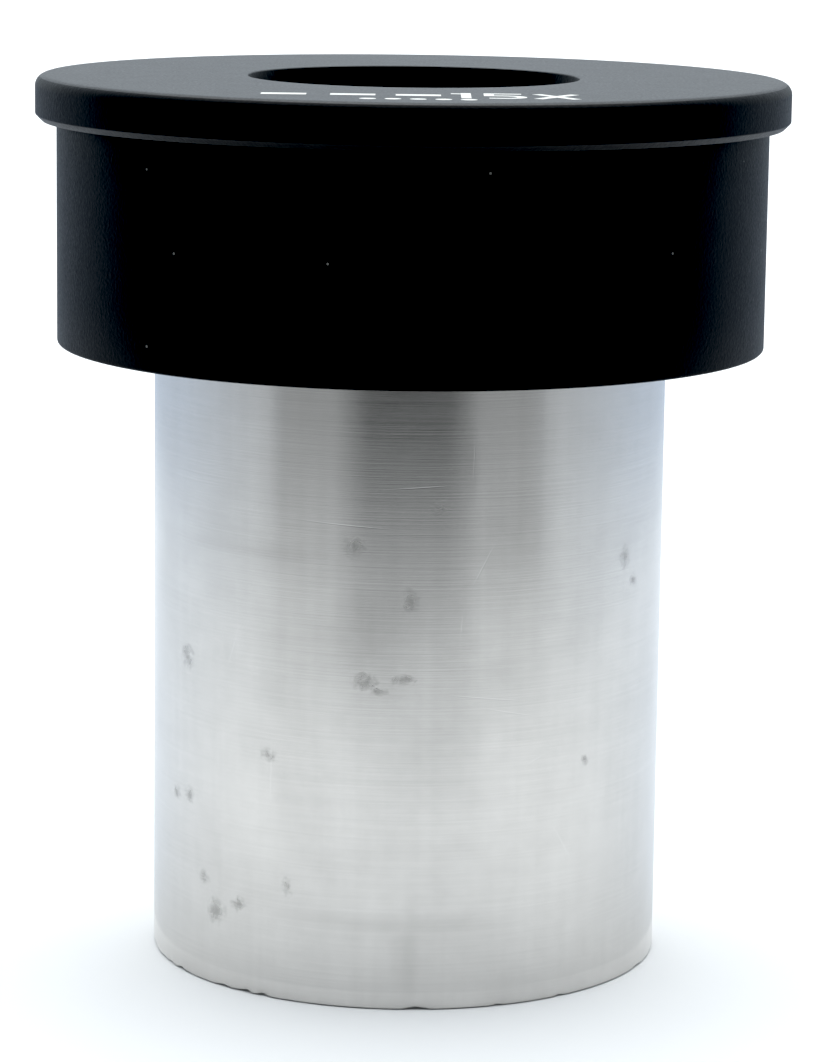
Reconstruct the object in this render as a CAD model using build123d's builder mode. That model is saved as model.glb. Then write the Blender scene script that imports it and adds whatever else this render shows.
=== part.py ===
# Wide-field push-fit eyepiece: bare aluminium barrel, black collar and black flanged eye cap.
# Millimetres. +Z is the optical axis, towards the eye; the origin is the centre of the barrel's lower end.
# The eye cap carries the eye doublet, the collar carries the cell of the field doublet, and the barrel
# carries the field stop. The screwed joints are plain cylinders at the roots of their threads.

import os
from math import sqrt

from build123d import *

# Outside sizes
barrel_d = 23.2  # standard push-fit diameter of the tube that the eyepiece drops into
barrel_length = 28.0  # lower end to the collar's shoulder
collar_d = 32.0
collar_height = 10.0
flange_overhang = 0.95  # rim of the eye cap out from the collar
flange_height = 2.0
eye_opening_d = 14.9

# Walls, steps and clearances
barrel_wall = 1.1
neck_step = 0.55  # barrel's surface in to the crest of its thread
neck_wall = 0.7  # under the root of its thread
neck_root = 2.0  # length of thick wall left under the shoulder
neck_gap = 0.1  # end of the neck to the flange of the field cell
seat_depth = 0.5  # recess in the collar's underside that takes the barrel's shoulder
register_step = 0.3  # barrel's surface in to the register that enters the recess
thread_depth = 0.35  # crest to root
thread_clearance = 0.05  # crest to the root of the mating thread, each side
thread_relief = 0.4  # free length at the blind end of the eye cap's thread
collar_wall = 1.9  # round the eye cap's thread
skirt_length = 3.6  # at least; it always covers the eye lens's ring
web_height = 1.4  # collar's web between its two threads
cell_clearance = 0.25  # field cell to the bore of the neck
cell_wall = 1.53
cell_flange_height = 1.0
cell_lip_height = 0.7
shim_height = 0.2  # shim that sets the spacing of the two doublets
slip = 0.05  # what slides or drops into a bore, each side

# Lenses: two alike doublets, each a crown of equal radii cemented to a flint, crowns facing
crown_radius = 21.5
flint_radius = 110.0
crown_edge = 0.5  # thickness of the crown at its rim
flint_centre = 1.0  # thickness of the flint on the axis
crown_index = 1.620
flint_index = 1.728
lens_clearance = 0.02
cement_gap = 0.01
doublet_gap = 0.2  # crown to crown, on the axis
eye_recess = 1.1  # top of the eye cap down to the eye lens
lens_overlap = 0.8  # reach of each lip and ring over a lens's rim

# Slotted retaining rings
ring_height = 0.9
ring_step = 0.45  # lens bore out to the thread of its ring
ring_relief = 0.25  # thread runs this far past the seated ring
slot_width = 1.0
slot_depth = 0.4

# Field stop
field_number = 13.0  # aperture of the diaphragm
diaphragm_height = 0.4
diaphragm_bevel = 0.25
sleeve_length = 7.0
sleeve_wall = 0.75
ledge_height = 0.8
ledge_width = 0.8
lock_ring_height = 1.0
lock_ring_width = 1.45
saw_slot_width = 0.6
saw_slot_length = 1.6
saw_slots = 3

# Edges
foot_chamfer_outside = 0.12
foot_chamfer_inside = 0.3
collar_chamfer = 0.12
rim_chamfer = 0.45
rim_fillet = 0.3
chamfer_fillet = 0.25
opening_taper = 0.35  # narrowing of the eye opening's radius on its way down
thread_chamfer = 0.2

# Engraving on the eye cap: three bars and the magnification, over a row of dots
engraving_depth = 0.12
paint_recess = 0.02
stroke = 0.42
letter_height = 3.0
letter_width = 1.8
letter_foot_y = -13.6
one_x = 2.2
five_x = 3.85
times_x = 6.0
bar_width = 1.9
bar_height = 0.9
bar_xs = (-5.45, -2.55, 0.2)
dot_d = 0.7
dot_pitch = 1.05
dot_row_y = -14.45
dots = 5

# Heights along the axis
shoulder_z = barrel_length
seat_z = shoulder_z + seat_depth
collar_top_z = shoulder_z + collar_height
top_z = collar_top_z + flange_height

# Radii out from the axis
barrel_r = barrel_d / 2
barrel_bore_r = barrel_r - barrel_wall
neck_crest_r = barrel_r - neck_step
neck_r = neck_crest_r - thread_depth
neck_bore_r = neck_r - neck_wall
cell_r = neck_bore_r - cell_clearance
web_hole_r = cell_r + thread_clearance
cell_flange_r = neck_r
field_lens_r = cell_r - cell_wall - lens_clearance
opening_r = eye_opening_d / 2
opening_foot_r = opening_r - opening_taper
eye_lens_r = opening_foot_r + lens_overlap + 0.3
collar_r = collar_d / 2
flange_r = collar_r + flange_overhang
skirt_crest_r = collar_r - collar_wall - thread_clearance
skirt_r = skirt_crest_r - thread_depth


# Depth of a spherical surface at a height from the axis
def sag(surface_radius, height):
    return surface_radius - sqrt(surface_radius**2 - height**2)


def crown_centre(lens_r):
    return crown_edge + 2 * sag(crown_radius, lens_r)


# Distance from the field lens's outer face down to the front focal plane, where the field stop
# belongs: a paraxial ray goes in at the eye lens and is carried from surface to surface
def front_focal_distance():
    surfaces = [  # power of a surface, then the reduced distance to the next one
        ((flint_index - 1) / flint_radius, flint_centre / flint_index),
        ((crown_index - flint_index) / crown_radius, crown_centre(eye_lens_r) / crown_index),
        ((crown_index - 1) / crown_radius, doublet_gap),
        ((crown_index - 1) / crown_radius, crown_centre(field_lens_r) / crown_index),
        ((crown_index - flint_index) / crown_radius, flint_centre / flint_index),
        ((flint_index - 1) / flint_radius, 0.0),
    ]
    height = 1.0
    slope = 0.0
    for power, distance in surfaces:
        slope -= height * power
        height += slope * distance
    print("focal length", round(-1 / slope, 2), "front focal distance", round(-height / slope, 2))
    return -height / slope


# Lens vertices on the axis, from the eye down
eye_flint_z = top_z - eye_recess
eye_cement_z = eye_flint_z - flint_centre
eye_crown_z = eye_cement_z - crown_centre(eye_lens_r)
field_crown_z = eye_crown_z - doublet_gap
field_cement_z = field_crown_z - crown_centre(field_lens_r)
field_flint_z = field_cement_z - flint_centre
stop_z = field_flint_z - front_focal_distance()

# Seats: each lip or ring meets its lens on the circle of its own inner edge
eye_seat_z = eye_flint_z - sag(flint_radius, opening_foot_r)
eye_bore_r = eye_lens_r + lens_clearance
eye_ring_r = eye_lens_r - lens_overlap
eye_ring_z = eye_crown_z + sag(crown_radius, eye_ring_r)
eye_ring_bore_r = eye_bore_r + ring_step

# Steps of the collar, from the eye cap's skirt down to the end of the neck
skirt_z = min(collar_top_z - skirt_length, eye_ring_z - ring_height)
web_top_z = skirt_z - thread_relief
ledge_z = web_top_z - web_height
shim_z = ledge_z - shim_height
cell_flange_z = shim_z - cell_flange_height
neck_top_z = cell_flange_z - neck_gap

# Seats of the field doublet and its cell
field_bore_r = field_lens_r + lens_clearance
field_ring_r = field_lens_r - lens_overlap
field_ring_z = field_crown_z - sag(crown_radius, field_ring_r)
field_seat_z = field_flint_z + sag(flint_radius, field_ring_r)
field_ring_bore_r = field_bore_r + ring_step
cell_top_z = max(ledge_z, field_ring_z + ring_height)
cell_bottom_z = field_seat_z - cell_lip_height

sleeve_crest_r = barrel_bore_r - thread_clearance
sleeve_r = sleeve_crest_r - thread_depth
sleeve_bore_r = sleeve_r - sleeve_wall
sleeve_bottom_z = stop_z - sleeve_length / 2
diaphragm_r = sleeve_bore_r - slip
diaphragm_bottom_z = stop_z - diaphragm_height


# Ring or disc between two heights; with no hole it is a disc
def ring(bottom_z, top, outer_r, inner_r=0, mode=Mode.ADD):
    with BuildSketch(Plane.XY.offset(bottom_z)) as section:
        Circle(outer_r)
        if inner_r:
            Circle(inner_r, mode=Mode.SUBTRACT)
    extrude(section.sketch, amount=top - bottom_z, mode=mode)


# Straight slots across a ring's face, spread round the axis
def face_slots(count, width, bottom_z, top, inner_r, outer_r):
    with PolarLocations((inner_r + outer_r) / 2, count):
        with Locations((0, 0, bottom_z)):
            Box(
                outer_r - inner_r + 2,
                width,
                top - bottom_z,
                align=(Align.CENTER, Align.CENTER, Align.MIN),
                mode=Mode.SUBTRACT,
            )


# Lens of revolution between two spherical faces; a face of positive radius is domed upwards
def lens(lens_r, lower_z, lower_radius, upper_z, upper_radius):
    def dome(vertex_z, radius, height):
        return vertex_z - sag(abs(radius), height) * (1 if radius > 0 else -1)

    with BuildSketch(Plane.XZ) as section:
        with BuildLine():
            Line((0, upper_z), (0, lower_z))
            ThreePointArc(
                (0, lower_z),
                (lens_r / 2, dome(lower_z, lower_radius, lens_r / 2)),
                (lens_r, dome(lower_z, lower_radius, lens_r)),
            )
            Line(
                (lens_r, dome(lower_z, lower_radius, lens_r)),
                (lens_r, dome(upper_z, upper_radius, lens_r)),
            )
            ThreePointArc(
                (lens_r, dome(upper_z, upper_radius, lens_r)),
                (lens_r / 2, dome(upper_z, upper_radius, lens_r / 2)),
                (0, upper_z),
            )
        make_face()
    revolve(section.sketch, axis=Axis.Z)


# Barrel: plain push-fit tube with a threaded neck
with BuildPart() as barrel:
    ring(0, shoulder_z, barrel_r)
    ring(shoulder_z, seat_z, barrel_r - register_step)
    ring(seat_z, neck_top_z, neck_r)
    ring(0, shoulder_z - neck_root, barrel_bore_r, mode=Mode.SUBTRACT)
    ring(0, neck_top_z, neck_bore_r, mode=Mode.SUBTRACT)
    foot = barrel.faces().sort_by(Axis.Z)[0].edges().sort_by(SortBy.RADIUS)
    chamfer(foot[-1], foot_chamfer_outside)
    foot = barrel.faces().sort_by(Axis.Z)[0].edges().sort_by(SortBy.RADIUS)
    chamfer(foot[0], foot_chamfer_inside)
    crest = barrel.faces().sort_by(Axis.Z)[-1].edges().sort_by(SortBy.RADIUS)[-1]
    chamfer(crest, thread_chamfer)

# Collar: takes the barrel's neck from below and the eye cap from above, with a web between
with BuildPart() as collar:
    ring(shoulder_z, collar_top_z, collar_r)
    ring(shoulder_z, seat_z, barrel_r + slip, mode=Mode.SUBTRACT)
    ring(seat_z, ledge_z, neck_crest_r + thread_clearance, mode=Mode.SUBTRACT)
    ring(ledge_z, web_top_z, web_hole_r, mode=Mode.SUBTRACT)
    ring(web_top_z, collar_top_z, skirt_crest_r + thread_clearance, mode=Mode.SUBTRACT)
    for end in (0, -1):
        corner = collar.faces().sort_by(Axis.Z)[end].edges().sort_by(SortBy.RADIUS)[-1]
        chamfer(corner, collar_chamfer)

# Engraved marks, drawn once and used for the engraving and for its paint
with BuildSketch(Plane.XY.offset(top_z)) as marks:
    letter_y = letter_foot_y + letter_height / 2
    with Locations((one_x, letter_y)):
        Rectangle(stroke, letter_height)
    with Locations((one_x - stroke, letter_y + letter_height / 2 - stroke)):
        Rectangle(stroke, stroke)
    with BuildLine(Plane.XY.offset(top_z)):
        half_w = (letter_width - stroke) / 2
        half_h = (letter_height - stroke) / 2
        bowl = half_h * 0.55
        Polyline(
            (five_x + half_w, letter_y + half_h),
            (five_x - half_w, letter_y + half_h),
            (five_x - half_w, letter_y + half_h * 0.1),
            (five_x + half_w - bowl, letter_y + half_h * 0.1),
        )
        ThreePointArc(
            (five_x + half_w - bowl, letter_y + half_h * 0.1),
            (five_x + half_w, letter_y - bowl + half_h * 0.1),
            (five_x + half_w - bowl, letter_y - half_h),
        )
        Line((five_x + half_w - bowl, letter_y - half_h), (five_x - half_w, letter_y - half_h))
    trace(line_width=stroke)
    for turn in (30, -30):
        with Locations((times_x, letter_y)):
            Rectangle(stroke, letter_height * 1.08, rotation=turn)
    with Locations(*[(x, letter_y) for x in bar_xs]):
        Rectangle(bar_width, bar_height)
    with Locations((bar_xs[-1], dot_row_y)):
        with GridLocations(dot_pitch, 1, dots, 1):
            Circle(dot_d / 2)

# Eye cap: flanged disc with a tapered opening, a threaded skirt and the bore of the eye doublet
with BuildPart() as eye_cap:
    ring(skirt_z, collar_top_z, skirt_r)
    ring(collar_top_z, top_z, flange_r)
    ring(skirt_z, eye_ring_z + ring_relief, eye_ring_bore_r, mode=Mode.SUBTRACT)
    ring(skirt_z, eye_seat_z, eye_bore_r, mode=Mode.SUBTRACT)
    with Locations((0, 0, eye_seat_z)):
        Cone(
            opening_foot_r,
            opening_r,
            top_z - eye_seat_z,
            align=(Align.CENTER, Align.CENTER, Align.MIN),
            mode=Mode.SUBTRACT,
        )
    rim = eye_cap.edges().filter_by(GeomType.CIRCLE).group_by(SortBy.RADIUS)[-1].sort_by(Axis.Z)
    fillet(rim[-1], rim_fillet)
    rim = eye_cap.edges().filter_by(GeomType.CIRCLE).group_by(SortBy.RADIUS)[-1].sort_by(Axis.Z)
    chamfer(rim[0], rim_chamfer)
    rim = eye_cap.edges().filter_by(GeomType.CIRCLE).group_by(SortBy.RADIUS)[-1].sort_by(Axis.Z)
    fillet(rim[0], chamfer_fillet)
    crest = eye_cap.faces().sort_by(Axis.Z)[0].edges().sort_by(SortBy.RADIUS)[-1]
    chamfer(crest, thread_chamfer)
    extrude(marks.sketch, amount=-engraving_depth, mode=Mode.SUBTRACT)

# White paint that fills the engraving to just below the surface
with BuildPart() as engraving_paint:
    extrude(marks.sketch, amount=-engraving_depth)
    ring(top_z - paint_recess, top_z, flange_r, mode=Mode.SUBTRACT)

# Eye doublet, its flint towards the eye, and the slotted ring that screws in under it
with BuildPart() as eye_flint:
    lens(eye_lens_r, eye_cement_z + cement_gap, crown_radius, eye_flint_z, flint_radius)

with BuildPart() as eye_crown:
    lens(eye_lens_r, eye_crown_z, -crown_radius, eye_cement_z, crown_radius)

with BuildPart() as eye_ring:
    ring(eye_ring_z - ring_height, eye_ring_z, eye_ring_bore_r - slip, eye_ring_r)
    face_slots(
        2,
        slot_width,
        eye_ring_z - ring_height,
        eye_ring_z - ring_height + slot_depth,
        eye_ring_r,
        eye_ring_bore_r,
    )

# Field doublet, its crown towards the eye, in a flanged cell with a slotted ring on top
with BuildPart() as field_crown:
    lens(field_lens_r, field_cement_z, -crown_radius, field_crown_z, crown_radius)

with BuildPart() as field_flint:
    lens(field_lens_r, field_flint_z, -flint_radius, field_cement_z - cement_gap, -crown_radius)

with BuildPart() as field_cell:
    ring(cell_bottom_z, cell_top_z, cell_r)
    ring(cell_flange_z, shim_z, cell_flange_r)
    ring(field_seat_z, cell_top_z, field_bore_r, mode=Mode.SUBTRACT)
    ring(field_ring_z - ring_relief, cell_top_z, field_ring_bore_r, mode=Mode.SUBTRACT)
    ring(cell_bottom_z, cell_top_z, field_ring_r, mode=Mode.SUBTRACT)

with BuildPart() as field_ring:
    ring(field_ring_z, field_ring_z + ring_height, field_ring_bore_r - slip, field_ring_r)
    face_slots(
        2,
        slot_width,
        field_ring_z + ring_height - slot_depth,
        field_ring_z + ring_height,
        field_ring_r,
        field_ring_bore_r,
    )

with BuildPart() as cell_shim:
    ring(shim_z, ledge_z, cell_flange_r, web_hole_r)

# Field stop: threaded sleeve with a ledge, the diaphragm on it and the ring that locks the diaphragm
with BuildPart() as stop_sleeve:
    ring(sleeve_bottom_z, sleeve_bottom_z + sleeve_length, sleeve_r, sleeve_bore_r)
    ledge_r = sleeve_bore_r - ledge_width
    ring(diaphragm_bottom_z - ledge_height, diaphragm_bottom_z, sleeve_bore_r, ledge_r)
    face_slots(
        saw_slots,
        saw_slot_width,
        sleeve_bottom_z,
        sleeve_bottom_z + saw_slot_length,
        sleeve_bore_r,
        sleeve_r,
    )

with BuildPart() as diaphragm:
    ring(diaphragm_bottom_z, stop_z, diaphragm_r, field_number / 2)
    bore_edges = diaphragm.edges().filter_by(GeomType.CIRCLE).sort_by(SortBy.RADIUS)[:2]
    lower_edge = bore_edges.sort_by(Axis.Z)[0]
    chamfer(lower_edge, diaphragm_bevel)

with BuildPart() as lock_ring:
    ring(stop_z, stop_z + lock_ring_height, diaphragm_r, diaphragm_r - lock_ring_width)
    face_slots(
        2,
        slot_width,
        stop_z + lock_ring_height - slot_depth,
        stop_z + lock_ring_height,
        diaphragm_r - lock_ring_width,
        diaphragm_r,
    )

pieces = {
    "barrel": barrel,
    "collar": collar,
    "eye_cap": eye_cap,
    "engraving_paint": engraving_paint,
    "eye_flint": eye_flint,
    "eye_crown": eye_crown,
    "eye_ring": eye_ring,
    "field_cell": field_cell,
    "field_crown": field_crown,
    "field_flint": field_flint,
    "field_ring": field_ring,
    "cell_shim": cell_shim,
    "stop_sleeve": stop_sleeve,
    "diaphragm": diaphragm,
    "lock_ring": lock_ring,
}
os.makedirs("parts", exist_ok=True)
for name, piece in pieces.items():
    piece.part.label = name
    export_step(piece.part, "parts/" + name + ".step")
    print(name, round(piece.part.volume, 1))
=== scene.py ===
from math import cos, sin

import bpy
import numpy as np
from mathutils import Matrix, Vector


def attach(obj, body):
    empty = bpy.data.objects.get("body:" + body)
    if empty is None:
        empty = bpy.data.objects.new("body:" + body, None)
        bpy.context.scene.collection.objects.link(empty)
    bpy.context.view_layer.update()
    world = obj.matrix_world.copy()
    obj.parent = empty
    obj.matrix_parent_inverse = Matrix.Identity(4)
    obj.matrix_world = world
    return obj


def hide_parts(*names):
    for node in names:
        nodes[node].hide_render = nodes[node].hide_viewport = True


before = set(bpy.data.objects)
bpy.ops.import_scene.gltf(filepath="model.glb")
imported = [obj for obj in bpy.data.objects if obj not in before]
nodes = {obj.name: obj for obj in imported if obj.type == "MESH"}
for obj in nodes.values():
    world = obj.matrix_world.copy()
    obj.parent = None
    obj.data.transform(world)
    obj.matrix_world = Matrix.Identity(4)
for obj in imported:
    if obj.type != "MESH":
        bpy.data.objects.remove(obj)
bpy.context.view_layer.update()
mm = 0.001
sharpAngle = 0.55  # radians between two faces, from which their edge is drawn sharp
print("frame loaded:", len(nodes), "nodes")


def linearColour(hexColour):
    # sRGB hex to linear RGBA
    parts = [int(hexColour[i : i + 2], 16) / 255 for i in (1, 3, 5)]
    return [c / 12.92 if c <= 0.04045 else ((c + 0.055) / 1.055) ** 2.4 for c in parts] + [1.0]


def addNode(tree, kind, settings=None, **links):
    # adds a node, sets its properties, then fills or links its sockets: by name, or by number as i0, i1
    node = tree.nodes.new(kind)
    for key, value in (settings or {}).items():
        setattr(node, key, value)
    for key, value in links.items():
        socket = node.inputs[int(key[1:]) if key[1:].isdigit() else key.replace("_", " ")]
        if isinstance(value, bpy.types.NodeSocket):
            tree.links.new(value, socket)
        else:
            socket.default_value = value
    return node


def newMaterial(name, **shader):
    # a Principled material with its constants on the shader's own sockets
    material = bpy.data.materials.new(name)
    material.use_nodes = True
    tree = material.node_tree
    principled = tree.nodes["Principled BSDF"]
    for key, value in shader.items():
        principled.inputs[key.replace("_", " ")].default_value = value
    return material, tree, principled


def objectPlace(tree):
    return addNode(tree, "ShaderNodeTexCoord").outputs["Object"]


def noise(tree, place, scale, detail, roughness=0.5, distortion=0.0):
    # fractal noise from 0 to 1, its scale in humps per metre
    settings = {"Scale": scale, "Detail": detail, "Roughness": roughness, "Distortion": distortion}
    return addNode(tree, "ShaderNodeTexNoise", Vector=place, **settings).outputs[0]


def squeezed(tree, place, scale):
    # the same coordinates, scaled apart along x, y and z
    return addNode(tree, "ShaderNodeMapping", Vector=place, Scale=scale).outputs[0]


def calc(tree, operation, first, second):
    return addNode(tree, "ShaderNodeMath", {"operation": operation}, i0=first, i1=second).outputs[0]


def timesPlus(tree, value, factor, plus):
    # value * factor + plus
    return addNode(tree, "ShaderNodeMath", {"operation": "MULTIPLY_ADD"}, i0=value, i1=factor, i2=plus).outputs[0]


def remap(tree, value, fromRange, toRange):
    # lays one range over another and clamps
    (i1, i2), (i3, i4) = fromRange, toRange
    return addNode(tree, "ShaderNodeMapRange", i0=value, i1=i1, i2=i2, i3=i3, i4=i4).outputs[0]


def blend(tree, amount, first, second, kind="MIX"):
    # the first colour at 0 and the second, or their product, at 1
    settings = {"data_type": "RGBA", "blend_type": kind}
    return addNode(tree, "ShaderNodeMix", settings, i0=amount, i6=first, i7=second).outputs[2]


def putRelief(tree, shader, height, strength, depth):
    # a full step of height is worth depth, in mm
    bump = addNode(tree, "ShaderNodeBump", Height=height, Strength=strength, Distance=depth * mm)
    tree.links.new(bump.outputs[0], shader.inputs["Normal"])


def addPiece(name, points, faces, materials, body, stands=(), faceSlots=None):
    # puts a numpy surface into a mesh and hands it to the frame; points are in mm
    mesh = bpy.data.meshes.new(name)
    mesh.from_pydata((np.asarray(points, float) * mm).tolist(), [], [list(f) for f in faces])
    for material in materials:
        mesh.materials.append(material)
    if faceSlots is not None:
        mesh.polygons.foreach_set("material_index", np.asarray(faceSlots, np.int32))
    mesh.polygons.foreach_set("use_smooth", np.ones(len(mesh.polygons), bool))
    mesh.update()
    mesh.set_sharp_from_angle(angle=sharpAngle)
    piece = bpy.data.objects.new(name, mesh)
    bpy.context.scene.collection.objects.link(piece)
    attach(piece, body)
    if stands:
        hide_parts(*stands)
    return piece


def ringFaces(rows, columns, closeRows=False):
    # quads between neighbouring rows of a grid that closes on itself round the axis
    last = rows if closeRows else rows - 1
    i, j = np.meshgrid(np.arange(last), np.arange(columns), indexing="ij")
    a = i * columns + j
    b = i * columns + (j + 1) % columns
    c = ((i + 1) % rows) * columns + (j + 1) % columns
    d = ((i + 1) % rows) * columns + j
    return np.stack([a, b, c, d], -1).reshape(-1, 4)


def splitProfile(corners, step):
    # straight runs between corners, cut into lengths of at most one step
    runs = []
    for start, end in zip(corners, corners[1:] + corners[:1]):
        count = max(1, int(np.ceil(np.hypot(end[0] - start[0], end[1] - start[1]) / step)))
        t = np.arange(count)[:, None] / count
        runs.append(np.array(start) * (1 - t) + np.array(end) * t)
    return np.concatenate(runs)


def lathe(profile, columns):
    # each profile point (radius, height) goes round: x = r cos a, y = r sin a, z = height
    angle = np.linspace(0, 2 * np.pi, columns, endpoint=False)
    radius, height = profile[:, :1], profile[:, 1:2]
    x = radius * np.cos(angle)
    y = radius * np.sin(angle)
    z = height + 0 * angle
    return np.stack([x, y, z], -1).reshape(-1, 3)


# camera: about 51 mm above the floor and looking down ten degrees
cameraSetup = {"place": (0.0, -178.09, 51.52), "pitch": 0.1793, "yaw": 0.0023, "roll": -0.0131, "lens": 133.79}


def makeCamera(setup):
    # forward from yaw and pitch, right level with the floor, both turned by roll
    pitch, yaw, roll = setup["pitch"], setup["yaw"], setup["roll"]
    forward = Vector((sin(yaw) * cos(pitch), cos(yaw) * cos(pitch), -sin(pitch)))
    level = Vector((cos(yaw), -sin(yaw), 0))
    upright = level.cross(forward)
    right = level * cos(roll) - upright * sin(roll)
    up = level * sin(roll) + upright * cos(roll)
    camera = bpy.data.objects.new("camera", bpy.data.cameras.new("camera"))
    bpy.context.scene.collection.objects.link(camera)
    camera.data.lens = setup["lens"]
    camera.data.sensor_width = 36
    camera.data.clip_start = 0.01
    camera.data.clip_end = 20
    turned = Matrix((right, up, -forward)).transposed().to_4x4()
    camera.matrix_world = Matrix.Translation(Vector(setup["place"]) * mm) @ turned
    bpy.context.scene.camera = camera


makeCamera(cameraSetup)


# turned aluminium, bare: bright grey metal whose fine feed lines stretch reflections up and down
aluminium = {
    "colour": "#d4d2cf",
    "film": "#bebcb9",  # where hands have dulled it
    "stain": "#85837f",  # in the pits
    "scored": "#f4f4f2",  # fresh metal in the scratches
    "roughness": 0.19,
    "smear": 0.5,  # turned grooves run round, so reflections smear along the axis
    "feed": 0.07,  # mm between feed lines
    "relief": 0.0025,  # mm
    "blemishes": [  # degrees round from the front, height, reach round and reach along, mm
        (0.8, 18.3, 0.5, 0.9),
        (-8.5, 14.7, 0.9, 0.6),
        (-6.0, 14.3, 0.6, 0.35),
        (-1.0, 14.8, 0.9, 0.35),
        (-11.5, 20.6, 0.8, 0.7),
        (-57.0, 14.6, 0.8, 0.9),
        (-62.0, 8.2, 0.6, 0.5),
        (-56.0, 8.3, 0.6, 0.6),
        (-46.0, 3.4, 0.9, 0.9),
        (-50.0, 4.8, 0.6, 0.5),
        (-39.0, 4.0, 0.7, 0.5),
        (-26.0, 5.2, 0.4, 0.6),
        (43.0, 10.6, 0.35, 0.45),
        (56.0, 19.4, 0.7, 0.8),
        (60.0, 18.2, 0.5, 0.5),
        (7.0, 22.4, 0.6, 0.5),
        (-31.0, 11.0, 0.6, 0.5),
        (120.0, 12.0, 0.9, 0.8),
        (150.0, 20.0, 0.8, 0.5),
        (-140.0, 6.0, 0.9, 0.7),
        (-105.0, 17.0, 0.7, 0.8),
        (95.0, 4.0, 0.7, 0.6),
        (178.0, 8.5, 0.7, 0.6),
    ],
    "scratches": [  # as above, then the lean in degrees
        (16.5, 19.8, 0.9, 0.02, 62.0),
        (17.5, 13.9, 1.3, 0.02, -7.0),
        (23.0, 13.2, 0.9, 0.018, -12.0),
        (29.7, 11.0, 0.4, 0.02, 25.0),
        (11.8, 17.1, 0.6, 0.018, 85.0),
        (14.0, 24.4, 0.9, 0.022, 88.0),
        (-30.4, 10.2, 1.2, 0.018, 89.0),
        (-14.0, 21.5, 1.6, 0.018, -3.0),
        (2.0, 23.2, 1.1, 0.018, 4.0),
        (-41.0, 15.5, 0.9, 0.018, 71.0),
        (37.0, 7.0, 0.8, 0.018, -58.0),
        (-125.0, 14.0, 1.4, 0.02, 40.0),
        (160.0, 9.0, 1.2, 0.02, -20.0),
        (100.0, 19.0, 1.0, 0.02, 75.0),
    ],
    "smudges": [  # as the blemishes
        (-2.0, 3.9, 5.0, 0.35),
        (0.5, 2.4, 0.5, 1.6),
        (13.5, 24.2, 0.25, 1.3),
        (-35.0, 20.0, 3.0, 0.3),
        (-10.0, 17.0, 1.6, 1.2),
        (24.0, 21.0, 1.2, 2.0),
        (140.0, 12.0, 3.5, 2.0),
        (-120.0, 20.0, 3.0, 1.0),
    ],
    "barrelR": 11.6,
}


def markNear(tree, place, radius, degrees, height, across, tall, tilt=0.0):
    # 1 at the mark's centre, falling to 0 past its reach; the mark may lean by its tilt
    around = float(np.radians(degrees - 90))
    local = addNode(
        tree,
        "ShaderNodeMapping",
        {"vector_type": "TEXTURE"},
        Vector=place,
        Location=(radius * np.cos(around) * mm, radius * np.sin(around) * mm, height * mm),
        Rotation=(float(np.radians(tilt)), 0.0, around),
        Scale=(2.0 * mm, 1.6 * across * mm, 1.6 * tall * mm),
    )
    length = addNode(tree, "ShaderNodeVectorMath", {"operation": "LENGTH"}, i0=local.outputs[0])
    return remap(tree, length.outputs["Value"], (0.0, 1.0), (1.0, 0.0))


def allMarks(tree, place, radius, marks):
    # the strongest of many marks at each point
    values = [markNear(tree, place, radius, *mark) for mark in marks]
    best = values[0]
    for value in values[1:]:
        best = calc(tree, "MAXIMUM", best, value)
    return best


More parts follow.
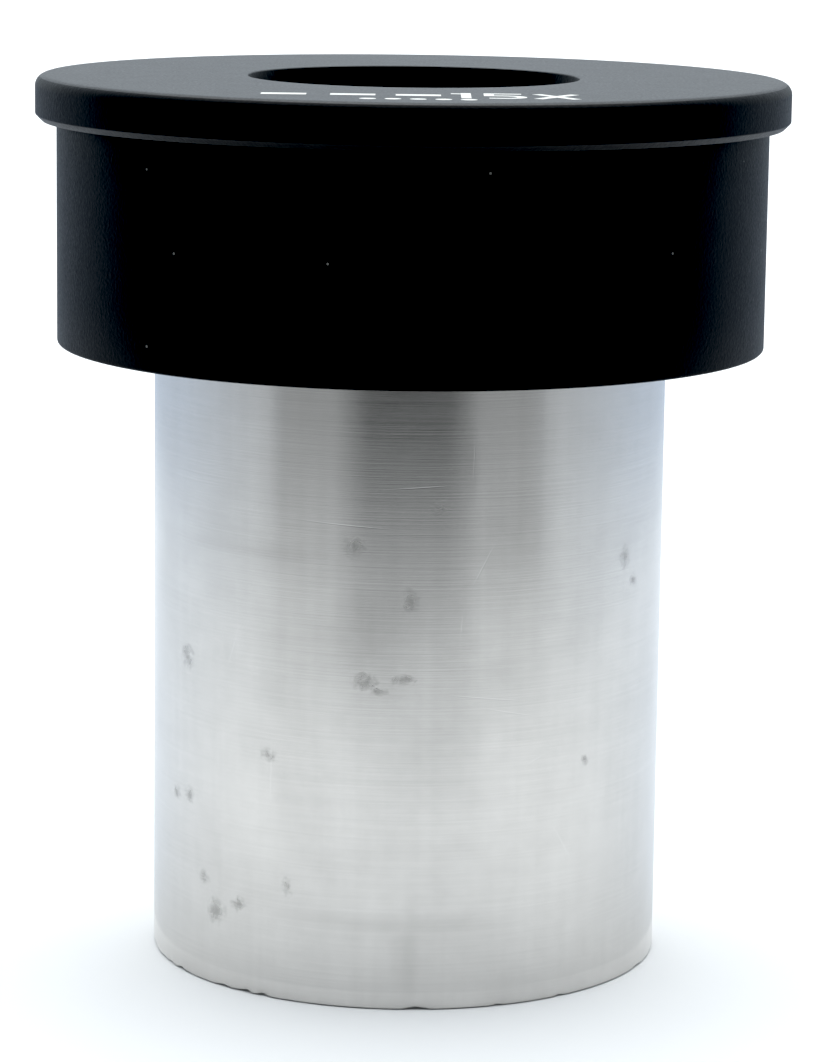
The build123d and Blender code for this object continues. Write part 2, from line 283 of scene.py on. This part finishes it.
def makeAluminium(setup):
    material, tree, shader = newMaterial(
        "aluminiumBareTurned",
        Metallic=1.0,
        Base_Color=linearColour(setup["colour"]),
        Roughness=setup["roughness"],
        Anisotropic=setup["smear"],
        Anisotropic_Rotation=0.25,
    )
    place = objectPlace(tree)
    # feed lines: noise squeezed along the axis until it draws rings
    lines = noise(tree, squeezed(tree, place, (130, 130, 1000 / setup["feed"])), 1.0, 3.0, 0.7)
    bands = noise(tree, squeezed(tree, place, (25, 25, 2600)), 1.0, 4.0, 0.6)
    # rub marks up the barrel from being pushed in and out
    rubs = noise(tree, squeezed(tree, place, (2200, 2200, 60)), 1.0, 2.0, 0.6)
    # patchy film of handling, a few millimetres across
    patch = noise(tree, place, 260.0, 5.0, 0.65)
    grit = noise(tree, place, 3600.0, 3.0, 0.7)

    # blemishes: soft spots round chosen points, broken up by a fine noise
    spots = allMarks(tree, place, setup["barrelR"], setup["blemishes"])
    broken = noise(tree, place, 2300.0, 6.0, 0.75, 0.7)
    pits = remap(tree, calc(tree, "MULTIPLY", spots, broken), (0.26, 0.54), (0.0, 0.55))
    scratches = allMarks(tree, place, setup["barrelR"], setup["scratches"])
    smudges = allMarks(tree, place, setup["barrelR"], setup["smudges"])

    # colour: clean metal, darker in the film, lined by the tool, stained in the pits, bright in the scratches
    film = timesPlus(tree, smudges, 0.45, remap(tree, patch, (0.35, 0.7), (0.0, 0.4)))
    colour = blend(tree, film, linearColour(setup["colour"]), linearColour(setup["film"]))
    colour = blend(tree, 1.0, colour, remap(tree, lines, (0.3, 0.72), (0.95, 1.03)), "MULTIPLY")
    colour = blend(tree, pits, colour, linearColour(setup["stain"]))
    colour = blend(tree, 1.0, colour, remap(tree, rubs, (0.35, 0.65), (0.98, 1.012)), "MULTIPLY")
    colour = blend(tree, calc(tree, "MULTIPLY", scratches, 0.3), colour, linearColour(setup["scored"]))
    tree.links.new(colour, shader.inputs["Base Color"])

    # gloss: duller in the film, bands and pits
    gloss = timesPlus(tree, patch, 0.12, setup["roughness"] - 0.08)
    gloss = timesPlus(tree, bands, 0.035, gloss)
    gloss = timesPlus(tree, pits, 0.3, gloss)
    tree.links.new(gloss, shader.inputs["Roughness"])

    # relief: feed lines, rub marks and grit stand up, pits and scratches go in
    height = timesPlus(tree, rubs, 0.28, lines)
    height = timesPlus(tree, grit, 0.4, height)
    height = timesPlus(tree, pits, -2.0, height)
    height = timesPlus(tree, scratches, -0.9, height)
    putRelief(tree, shader, height, 0.6, setup["relief"])
    return material


# black enamel, sprayed and baked over metal: near black, a soft sheen at the edges, some orange peel and dust
enamel = {
    "colour": "#060709",
    "dust": "#a5a5a0",
    "roughness": 0.4,
    "peel": 0.16,  # mm between the humps of the orange peel
    "relief": 0.014,  # mm
    "satin": 0.5,  # the faced top, handled smooth
    "rubbed": 0.3,  # the chamfer below the rim, where fingers pull
    "matt": 0.12,  # turned sides, sprayed thin and dry: only the very edges catch light
}


def makeEnamel(name, specular, setup):
    material, tree, shader = newMaterial(
        name,
        Base_Color=linearColour(setup["colour"]),
        Roughness=setup["roughness"],
        IOR=1.45,
        Specular_IOR_Level=specular,
    )
    place = objectPlace(tree)
    peel = noise(tree, place, 1000 / setup["peel"], 2.0)
    grain = noise(tree, place, 7000.0, 3.0, 0.7)
    wear = noise(tree, place, 700.0, 4.0, 0.6)
    # dust: rare cells of a fine Voronoi, kept only near their centres
    cells = addNode(tree, "ShaderNodeTexVoronoi", Vector=place, Scale=900.0, Randomness=1.0)
    near = calc(tree, "LESS_THAN", cells.outputs["Distance"], 0.055)
    pick = addNode(tree, "ShaderNodeSeparateColor", Color=cells.outputs["Color"])
    rare = calc(tree, "GREATER_THAN", pick.outputs[0], 0.88)
    faint = calc(tree, "MULTIPLY", calc(tree, "MULTIPLY", near, rare), 0.3)
    colour = blend(tree, faint, linearColour(setup["colour"]), linearColour(setup["dust"]))
    tree.links.new(colour, shader.inputs["Base Color"])
    # gloss: uneven over a millimetre, broken up by the grain
    gloss = timesPlus(tree, wear, 0.06, setup["roughness"] - 0.13)
    tree.links.new(timesPlus(tree, grain, 0.3, gloss), shader.inputs["Roughness"])
    putRelief(tree, shader, timesPlus(tree, grain, 0.5, peel), 0.9, setup["relief"])
    return material


# matt black paint inside the barrel and black anodised rings: soak up stray light, with faint turning rings
def makeMatt(name, hexColour, roughness, ringSpacing):
    material, tree, shader = newMaterial(name, Base_Color=linearColour(hexColour), Roughness=roughness, IOR=1.45)
    place = objectPlace(tree)
    rings = noise(tree, squeezed(tree, place, (150, 150, 1000 / ringSpacing)), 1.0, 3.0)
    grain = noise(tree, place, 9000.0, 2.0)
    tree.links.new(timesPlus(tree, grain, 0.15, roughness - 0.07), shader.inputs["Roughness"])
    putRelief(tree, shader, timesPlus(tree, grain, 0.5, rings), 0.4, 0.008)
    return material


# engraver's enamel wiped into the cuts: chalky white, slightly uneven
paint = {"colour": "#ecece6", "thin": "#9b9c98", "roughness": 0.6}


def makePaint(setup):
    white = linearColour(setup["colour"])
    material, tree, shader = newMaterial(
        "paintWhiteWiped", Base_Color=white, Roughness=setup["roughness"], IOR=1.45
    )
    uneven = noise(tree, objectPlace(tree), 5000.0, 3.0)
    colour = blend(tree, remap(tree, uneven, (0.45, 0.75), (0.0, 0.35)), white, linearColour(setup["thin"]))
    tree.links.new(colour, shader.inputs["Base Color"])
    return material


# optical glass, ground and polished, with a single layer coating that leaves a violet tinge
coating = {"thickness": 105.0, "ior": 1.38}  # the thickness is in nm


def makeGlass(name, ior, tint):
    return newMaterial(
        name,
        Base_Color=linearColour(tint),
        Roughness=0.0,
        IOR=ior,
        Transmission_Weight=1.0,
        Thin_Film_Thickness=coating["thickness"],
        Thin_Film_IOR=coating["ior"],
    )[0]


# brass shim, rolled and punched: warm metal, lightly tarnished
def makeBrass():
    material, tree, shader = newMaterial(
        "brassRolled", Base_Color=linearColour("#c9a45c"), Metallic=1.0, Roughness=0.35
    )
    tarnish = noise(tree, objectPlace(tree), 700.0, 4.0)
    tree.links.new(timesPlus(tree, tarnish, 0.25, 0.25), shader.inputs["Roughness"])
    return material


bareAluminium = makeAluminium(aluminium)
satinEnamel = makeEnamel("enamelBlackSatin", enamel["satin"], enamel)
rubbedEnamel = makeEnamel("enamelBlackRubbed", enamel["rubbed"], enamel)
mattEnamel = makeEnamel("enamelBlackMatt", enamel["matt"], enamel)
innerBlack = makeMatt("paintBlackMatt", "#0d0d0e", 0.62, 0.12)
anodised = makeMatt("aluminiumBlackAnodised", "#151517", 0.48, 0.06)
whitePaint = makePaint(paint)
crownGlass = makeGlass("glassCrownCoated", 1.62, "#f7faf8")
flintGlass = makeGlass("glassFlintCoated", 1.728, "#faf9f4")
brass = makeBrass()
print("materials made")


# barrel: a tube with a small register and a neck; nicks are pressed into its lower edge
barrel = {
    "outerR": 11.6,
    "boreR": 10.5,
    "shoulder": 28.0,
    "registerR": 11.3,
    "seat": 28.5,
    "neckR": 10.7,
    "neckBoreR": 10.0,
    "neckTop": 31.3,
    "rootZ": 26.0,
    "footChamfer": 0.12,
    "boreChamfer": 0.3,
    "neckChamfer": 0.2,
    "columns": 480,
    "step": 1.4,  # longest run between profile points
    "nickRings": (0.2, 0.3, 0.4, 0.5, 1.0),  # closer rows above the foot, to carry the nicks
    "nicks": 26,
    "nickDepth": (0.02, 0.09),  # mm
    "nickWidth": (0.12, 0.45),
    "nickReach": (0.12, 0.35),
    "nickLift": 0.6,  # how far a nick raises the foot, against its depth
}


def buildBarrel(setup):
    s = setup
    corners = [
        (s["outerR"] - s["footChamfer"], 0.0),
        (s["outerR"] - s["footChamfer"] * 0.35, s["footChamfer"] * 0.3),
        (s["outerR"], s["footChamfer"]),
        *[(s["outerR"], z) for z in s["nickRings"]],
        (s["outerR"], s["shoulder"]),
        (s["registerR"], s["shoulder"]),
        (s["registerR"], s["seat"]),
        (s["neckR"], s["seat"]),
        (s["neckR"], s["neckTop"] - s["neckChamfer"]),
        (s["neckR"] - s["neckChamfer"], s["neckTop"]),
        (s["neckBoreR"], s["neckTop"]),
        (s["neckBoreR"], s["rootZ"]),
        (s["boreR"], s["rootZ"]),
        (s["boreR"], s["boreChamfer"]),
        (s["boreR"] + s["boreChamfer"], 0.0),
    ]
    profile = splitProfile(corners, s["step"])
    points = lathe(profile, s["columns"]).reshape(len(profile), s["columns"], 3)
    angle = np.arctan2(points[..., 1], points[..., 0])
    radius = np.hypot(points[..., 0], points[..., 1])
    height = points[..., 2].copy()
    # nicks: each lowers the radius by depth * exp(-(arc / width)^2 - (height / reach)^2)
    rng = np.random.default_rng(11)
    outside = radius > s["outerR"] - 0.2
    for _ in range(s["nicks"]):
        where = rng.uniform(-np.pi, np.pi)
        depth = rng.uniform(*s["nickDepth"])
        width = rng.uniform(*s["nickWidth"])
        reach = rng.uniform(*s["nickReach"])
        arc = (np.mod(angle - where + np.pi, 2 * np.pi) - np.pi) * s["outerR"]
        dent = depth * np.exp(-((arc / width) ** 2) - (height / reach) ** 2) * outside
        radius -= dent
        points[..., 2] += dent * s["nickLift"] * (height < 0.15)
    points[..., 0] = radius * np.cos(angle)
    points[..., 1] = radius * np.sin(angle)
    faces = ringFaces(len(profile), s["columns"], closeRows=True)
    # rows whose face lies inside the bore are painted black
    middle = (profile + np.roll(profile, -1, 0)) / 2
    inside = (middle[:, 0] < s["boreR"] + 0.29) & (middle[:, 1] < s["shoulder"] - 0.001)
    inside |= (middle[:, 0] < s["neckBoreR"] + 0.001)
    faceSlots = np.repeat(inside.astype(int), s["columns"])
    finishes = [bareAluminium, innerBlack]
    return addPiece(
        "barrelTube", points.reshape(-1, 3), faces, finishes, "barrel", ("barrel",), faceSlots
    )


buildBarrel(barrel)
print("barrel built")


# collar: plain black cylinder with a recess below, a web, and the wide bore of the eye cap's thread above
collar = {
    "outerR": 16.0,
    "bottom": 28.0,
    "top": 38.0,
    "edge": 0.12,
    "recessR": 11.65,
    "seat": 28.5,
    "neckBoreR": 11.1,
    "ledge": 32.6,
    "webR": 9.8,
    "webTop": 34.0,
    "skirtBoreR": 14.1,
    "columns": 360,
    "step": 2.5,
}


def roundCorner(centreR, centreZ, size, start, end, count=4):
    # points on a quarter round: centre plus size times the cosine and sine of each angle
    a = np.radians(np.linspace(start, end, count))
    return [(centreR + size * float(np.cos(v)), centreZ + size * float(np.sin(v))) for v in a]


def buildCollar(setup):
    s = setup
    corners = roundCorner(s["outerR"] - s["edge"], s["bottom"] + s["edge"], s["edge"], -90, 0)
    corners += roundCorner(s["outerR"] - s["edge"], s["top"] - s["edge"], s["edge"], 0, 90)
    corners += [
        (s["skirtBoreR"], s["top"]),
        (s["skirtBoreR"], s["webTop"]),
        (s["webR"], s["webTop"]),
        (s["webR"], s["ledge"]),
        (s["neckBoreR"], s["ledge"]),
        (s["neckBoreR"], s["seat"]),
        (s["recessR"], s["seat"]),
        (s["recessR"], s["bottom"]),
    ]
    profile = splitProfile(corners, s["step"])
    faces = ringFaces(len(profile), s["columns"], closeRows=True)
    points = lathe(profile, s["columns"])
    return addPiece("collarShell", points, faces, [mattEnamel], "collar", ("collar",))


buildCollar(collar)
print("collar built")


# eye cap: flanged disc with rounded rim and a chamfer below it, tapered opening, skirt and lens bore
cap = {
    "flangeR": 16.95,
    "bottom": 38.0,
    "top": 39.994,
    "marksTop": 40.0,  # the paint stands this little above the disc
    "rimRound": 0.5,
    "chamfer": 0.27,
    "chamferRound": 0.1,
    "openingR": 7.45,
    "openingFootR": 7.1,
    "lipRound": 0.05,
    "seat": 38.671,
    "lensBoreR": 8.22,
    "ringBoreR": 8.67,
    "ringTop": 35.713,
    "skirtR": 13.7,
    "skirtBottom": 34.4,
    "skirtChamfer": 0.2,
    "columns": 400,
    "step": 1.5,
}


def buildCap(setup):
    s = setup
    top, bottom, rim = s["top"], s["bottom"], s["flangeR"]
    corners = roundCorner(s["openingR"] + s["lipRound"], top - s["lipRound"], s["lipRound"], 180, 90, 4)
    corners += [(s["openingR"] + 0.4, top), (rim - s["rimRound"] - 0.5, top)]
    corners += roundCorner(rim - s["rimRound"], top - s["rimRound"], s["rimRound"], 90, 0, 9)
    kneeZ = bottom + s["chamfer"] + s["chamferRound"] * 0.414  # the tangent of half of 45 degrees
    corners += roundCorner(rim - s["chamferRound"], kneeZ, s["chamferRound"], 0, -45, 6)
    corners += [
        (rim - s["chamfer"], bottom),
        (s["skirtR"], bottom),
        (s["skirtR"], s["skirtBottom"] + s["skirtChamfer"]),
        (s["skirtR"] - s["skirtChamfer"], s["skirtBottom"]),
        (s["ringBoreR"], s["skirtBottom"]),
        (s["ringBoreR"], s["ringTop"]),
        (s["lensBoreR"], s["ringTop"]),
        (s["lensBoreR"], s["seat"]),
        (s["openingFootR"], s["seat"]),
    ]
    profile = splitProfile(corners, s["step"])[::-1]
    faces = ringFaces(len(profile), s["columns"], closeRows=True)
    points = lathe(profile, s["columns"])
    # satin on the faced top, rubbed on the chamfer below the rim, matt elsewhere
    middle = points[np.asarray(faces)].mean(axis=1)
    out = np.hypot(middle[:, 0], middle[:, 1])
    onChamfer = (middle[:, 2] > bottom + 0.01) & (middle[:, 2] < bottom + s["chamfer"])
    onChamfer &= out > s["skirtR"] + 1
    finish = np.where(middle[:, 2] > top - 0.1, 1, np.where(onChamfer, 2, 0))
    finishes = [mattEnamel, satinEnamel, rubbedEnamel]
    return addPiece("eyeCapShell", points, faces, finishes, "eye_cap", ("eye_cap",), finish)


def buildMarks(setup):
    # the engraved marks as the frame has them, lifted until their paint shows on the disc
    source = nodes["engraving_paint"].data
    co = np.zeros(len(source.vertices) * 3)
    source.vertices.foreach_get("co", co)
    co = co.reshape(-1, 3) / mm
    _, first, back = np.unique(np.round(co, 4), axis=0, return_index=True, return_inverse=True)
    co = co[first]
    co[:, 2] += setup["marksTop"] - co[:, 2].max()
    corners = np.zeros(len(source.loops), np.int64)
    source.loops.foreach_get("vertex_index", corners)
    faces = back.reshape(-1)[corners].reshape(-1, 3)
    return addPiece("paintedMarks", co, faces, [whitePaint], "eye_cap", ("engraving_paint",))


buildCap(cap)
buildMarks(cap)
print("eye cap built")


# threads: right-handed, 0.75 mm pitch, each female half a pitch from its male
threads = {
    "pitch": 0.75,
    "depth": 0.35,
    "sunk": 0.03,  # the ridge's foot goes this far into the wall
    "halfBase": (0.285, 0.01),  # half width at the foot: with the full height, and what is left at the ends
    "halfCrest": (0.06, 0.004),
    "fadeTurns": 0.5,
    "columns": 96,
    "cuts": {  # body, radius at the wall, 1 out or -1 in, lower and upper end, finish, and a female's male
        "neckThread": ("barrel", 10.7, 1, 28.75, 30.9, "metal", None),
        "collarThread": ("collar", 11.1, -1, 28.9, 32.2, "black", "neckThread"),
        "capThread": ("eye_cap", 13.7, 1, 34.7, 37.5, "black", None),
        "upperThread": ("collar", 14.1, -1, 34.3, 37.6, "black", "capThread"),
        "boreThread": ("barrel", 10.5, -1, 6.0, 24.6, "inside", "sleeveThread"),
        "sleeveThread": ("stop_sleeve", 10.1, 1, 12.375, 18.875, "ring", None),
    },
    "finishes": {
        "metal": (bareAluminium, "bare_aluminium"),
        "black": (mattEnamel, "black_enamel"),
        "inside": (innerBlack, "black_anodised"),
        "ring": (anodised, "black_anodised"),
    },
}


def threadRidge(wallR, side, lowZ, highZ, phase, setup):
    # a flat-topped ridge carried up a helix, z = low + pitch * (turns + phase); it fades out at each end
    columns = setup["columns"]
    angle = np.arange(0, int((highZ - lowZ) / setup["pitch"] * columns) + 1) * 2 * np.pi / columns
    turn = angle / (2 * np.pi)
    fade = np.clip(np.minimum(turn, turn[-1] - turn) / setup["fadeTurns"], 0.02, 1) ** 0.7
    foot = np.full_like(angle, wallR - side * setup["sunk"])
    crest = wallR + side * setup["depth"] * fade
    halfBase, halfCrest = (full * fade + least for full, least in (setup["halfBase"], setup["halfCrest"]))
    middle = lowZ + setup["pitch"] * (turn + phase)
    radii = np.stack([foot, crest, crest, foot], -1)
    heights = middle[:, None] + np.stack([-halfBase, -halfCrest, halfCrest, halfBase], -1)
    points = np.stack([radii * np.cos(angle)[:, None], radii * np.sin(angle)[:, None], heights], -1)
    rows = len(angle)
    i, j = np.meshgrid(np.arange(rows - 1), np.arange(4), indexing="ij")
    a, b = i * 4 + j, i * 4 + (j + 1) % 4
    quads = np.stack([a, a + 4, b + 4, b], -1).reshape(-1, 4)
    caps = np.array([[0, 1, 2, 3], [rows * 4 - 1, rows * 4 - 2, rows * 4 - 3, rows * 4 - 4]])
    quads = np.concatenate([quads, caps])
    if side < 0:
        quads = quads[:, ::-1]
    return points.reshape(-1, 3), quads


def buildThreads(setup):
    cuts = setup["cuts"]
    for name, (body, wallR, side, lowZ, highZ, kind, male) in cuts.items():
        # a female's ridge runs half a pitch off its male's
        phase = ((cuts[male][3] - lowZ) / setup["pitch"] + 0.5) % 1.0 if male else 0.0
        points, faces = threadRidge(wallR, side, lowZ, highZ, phase, setup)
        material, slotName = setup["finishes"][kind]
        addPiece(name, points, faces, [material], body)


buildThreads(threads)
print("threads cut")


# lenses: two alike doublets, crowns facing each other, each face a sphere about a centre on the axis
lenses = {
    "rimR": 8.2,
    "columns": 160,
    "rings": 22,
    "pieces": {  # body, node, lower vertex and radius, upper vertex and radius; a positive radius domes upwards
        "eyeFlint": ("eye_doublet", "eye_flint", 37.91, 21.5, 38.9, 110.0),
        "eyeCrown": ("eye_doublet", "eye_crown", 34.15, -21.5, 37.9, 21.5),
        "fieldCrown": ("lens_cell", "field_crown", 30.199, -21.5, 33.95, 21.5),
        "fieldFlint": ("lens_cell", "field_flint", 29.199, -110.0, 30.189, -21.5),
    },
}


def sphereHeight(vertex, radius, r):
    # height of a sphere's face at a distance r from the axis
    return vertex - np.sign(radius) * (abs(radius) - np.sqrt(radius**2 - r**2))


def buildLens(name, body, node, lowZ, lowRadius, topZ, topRadius, setup):
    # rings of growing radius on each face, joined at the rim and closed by a point on the axis
    r = np.linspace(0, setup["rimR"], setup["rings"])[1:]
    top = np.stack([r, sphereHeight(topZ, topRadius, r)], -1)
    low = np.stack([r, sphereHeight(lowZ, lowRadius, r)], -1)
    profile = np.concatenate([low, top[::-1]])
    columns = setup["columns"]
    points = lathe(profile, columns)
    faces = ringFaces(len(profile), columns).tolist()
    poles = len(points)
    points = np.concatenate([points, [[0, 0, lowZ], [0, 0, topZ]]])
    last = (len(profile) - 1) * columns
    for j in range(columns):
        faces.append([poles, (j + 1) % columns, j])
        faces.append([poles + 1, last + j, last + (j + 1) % columns])
    glass = flintGlass if "Flint" in name else crownGlass
    return addPiece(name, points, faces, [glass], body, (node,))


for lensName, facts in lenses["pieces"].items():
    buildLens(lensName, *facts, lenses)
print("lenses ground")


# the solids whose shape is right already get their finish
finishes = {
    "eye_ring": anodised,
    "field_cell": anodised,
    "field_ring": anodised,
    "cell_shim": brass,
    "stop_sleeve": anodised,
    "diaphragm": innerBlack,
    "lock_ring": anodised,
}
for nodeName, finish in finishes.items():
    mesh = nodes[nodeName].data
    mesh.materials.clear()
    mesh.materials.append(finish)
print("inner parts finished")


# studio: pale floor, a dark card seen in reflections, a soft box overhead, daylight that is brightest behind
studio = {
    "floor": {"colour": "#f6f6f5", "half": 1.8, "gap": 0.02},  # the gap is in mm, just clear of the foot
    "skyBack": (1.08, 1.2, 1.3, 1.0),
    "skyLow": (0.05, 0.055, 0.06, 1.0),  # in front, near the horizon
    "skyHigh": (0.5, 0.55, 0.6, 1.0),  # in front, overhead
    "skyStrength": 1.0,
    "topBox": {"size": 3.0, "height": 2.0, "place": 0.5, "power": 50.0},
    "card": {
        "inner": 0.0122,
        "outer": 3.0,
        "lift": 0.0006,
        "columns": 60,
        "black": "#050505",  # painted dark reflection, in front
        "blue": "#557394",  # painted bluish reflection, at the sides and behind
        "thickens": (0.03, 0.172),  # it covers nothing nearer than the first and all it can past the second
        "ahead": 0.27,  # cover far off: added straight ahead, then that at the sides, then that behind
        "beside": 0.76,
        "behind": 0.58,
        "least": (0.07, 0.3),  # cover close in, from front to back
        # each change of cover or tint runs between two values of y, from -1 in front to 1 behind
        "aheadEnds": (-0.96, -0.86),
        "besideEnds": (-0.56, -0.42),
        "leastGrows": (-0.5, 0.8),
        "tintTurns": (-0.6, 0.5),
    },
    "blackPoint": 0.02,
}


def buildFloor(setup):
    half, low = setup["half"], -setup["gap"] * mm
    mesh = bpy.data.meshes.new("floor")
    corners = [(-half, -half, low), (half, -half, low), (half, half, low), (-half, half, low)]
    mesh.from_pydata(corners, [], [(0, 1, 2, 3)])
    floor = bpy.data.objects.new("floor", mesh)
    material, tree, shader = newMaterial(
        "paperWhite", Base_Color=linearColour(setup["colour"]), Roughness=0.95, Specular_IOR_Level=0.0
    )
    # clear from below, so that the underside can be looked at
    side = addNode(tree, "ShaderNodeNewGeometry").outputs["Backfacing"]
    clear = addNode(tree, "ShaderNodeBsdfTransparent").outputs[0]
    sheet = addNode(tree, "ShaderNodeMixShader", i0=side, i1=shader.outputs[0], i2=clear)
    tree.links.new(sheet.outputs[0], tree.nodes["Material Output"].inputs["Surface"])
    mesh.materials.append(material)
    bpy.context.scene.collection.objects.link(floor)


# painted reflection: a card seen only in reflections, whose black in front and blue at the sides and behind paint
# dark and bluish reflections on the metal
def makeReflectionCard(card):
    material = bpy.data.materials.new("cardPaintedReflection")
    material.use_nodes = True
    tree = material.node_tree
    tree.nodes.clear()
    place = objectPlace(tree)
    length = addNode(tree, "ShaderNodeVectorMath", {"operation": "LENGTH"}, i0=place).outputs["Value"]
    unit = addNode(tree, "ShaderNodeVectorMath", {"operation": "NORMALIZE"}, i0=place).outputs[0]
    y = addNode(tree, "ShaderNodeSeparateXYZ", Vector=unit).outputs["Y"]
    # cover: the greater of far * (ahead + beside) and least; it grows with distance and thins towards the back
    far = remap(tree, length, card["thickens"], (0.0, 1.0))
    ahead = remap(tree, y, card["aheadEnds"], (card["ahead"], 0.0))
    beside = remap(tree, y, card["besideEnds"], (card["beside"], card["behind"]))
    fading = calc(tree, "MULTIPLY", far, calc(tree, "ADD", ahead, beside))
    least = remap(tree, y, card["leastGrows"], card["least"])
    cover = calc(tree, "MAXIMUM", fading, least)
    # tint of the painted reflection, from black in front to blue behind
    turned = remap(tree, y, card["tintTurns"], (0.0, 1.0))
    reflectionTint = blend(tree, turned, linearColour(card["black"]), linearColour(card["blue"]))
    clear = addNode(tree, "ShaderNodeBsdfTransparent").outputs[0]
    # diffuse shader of the painted reflection, shown where the cover is full
    paintedReflection = addNode(tree, "ShaderNodeBsdfDiffuse", Color=reflectionTint).outputs[0]
    both = addNode(tree, "ShaderNodeMixShader", i0=cover, i1=clear, i2=paintedReflection).outputs[0]
    addNode(tree, "ShaderNodeOutputMaterial", Surface=both)
    return material


def buildCard(card):
    # a dark card round the foot, seen only in reflections, painting dark and bluish reflections on the metal: a flat
    # ring between two radii
    count = card["columns"]
    a = np.radians(np.linspace(-180, 180, count + 1) - 90)
    rim = [np.stack([r * np.cos(a), r * np.sin(a), 0 * a + card["lift"]], -1) for r in (card["inner"], card["outer"])]
    i = np.arange(count)
    quads = np.stack([i, i + 1, i + count + 2, i + count + 1], -1)
    mesh = bpy.data.meshes.new("darkCard")
    mesh.from_pydata(np.concatenate(rim).tolist(), [], quads.tolist())
    mesh.materials.append(makeReflectionCard(card))
    darkCard = bpy.data.objects.new("darkCard", mesh)
    bpy.context.scene.collection.objects.link(darkCard)
    darkCard.visible_camera = False
    darkCard.visible_diffuse = False
    darkCard.visible_shadow = False
    darkCard.visible_transmission = False


def buildStudio(setup):
    buildFloor(setup["floor"])
    buildCard(setup["card"])
    box = setup["topBox"]
    light = bpy.data.lights.new("topBox", "AREA")
    light.shape = "DISK"
    light.size = box["size"]
    light.energy = box["power"]
    lamp = bpy.data.objects.new("topBox", light)
    lamp.location = (0, box["place"], box["height"])
    bpy.context.scene.collection.objects.link(lamp)

    # the sky fades from its front colour, which brightens upwards, to its back colour with the direction's y
    world = bpy.data.worlds.new("daylight")
    bpy.context.scene.world = world
    world.use_nodes = True
    tree = world.node_tree
    direction = addNode(tree, "ShaderNodeTexCoord").outputs["Generated"]
    parts = addNode(tree, "ShaderNodeSeparateXYZ", Vector=direction)
    above = remap(tree, parts.outputs["Z"], (0.05, 0.7), (0.0, 1.0))
    behind = remap(tree, parts.outputs["Y"], (-0.7, 1.0), (0.0, 1.0))
    front = blend(tree, above, setup["skyLow"], setup["skyHigh"])
    sky = blend(tree, behind, front, setup["skyBack"])
    background = tree.nodes["Background"]
    tree.links.new(sky, background.inputs["Color"])
    background.inputs["Strength"].default_value = setup["skyStrength"]
    settings = bpy.context.scene.view_settings
    settings.view_transform = "Standard"
    settings.use_curve_mapping = True
    settings.curve_mapping.black_level = (setup["blackPoint"],) * 3
    settings.curve_mapping.update()


buildStudio(studio)
print("studio lit")
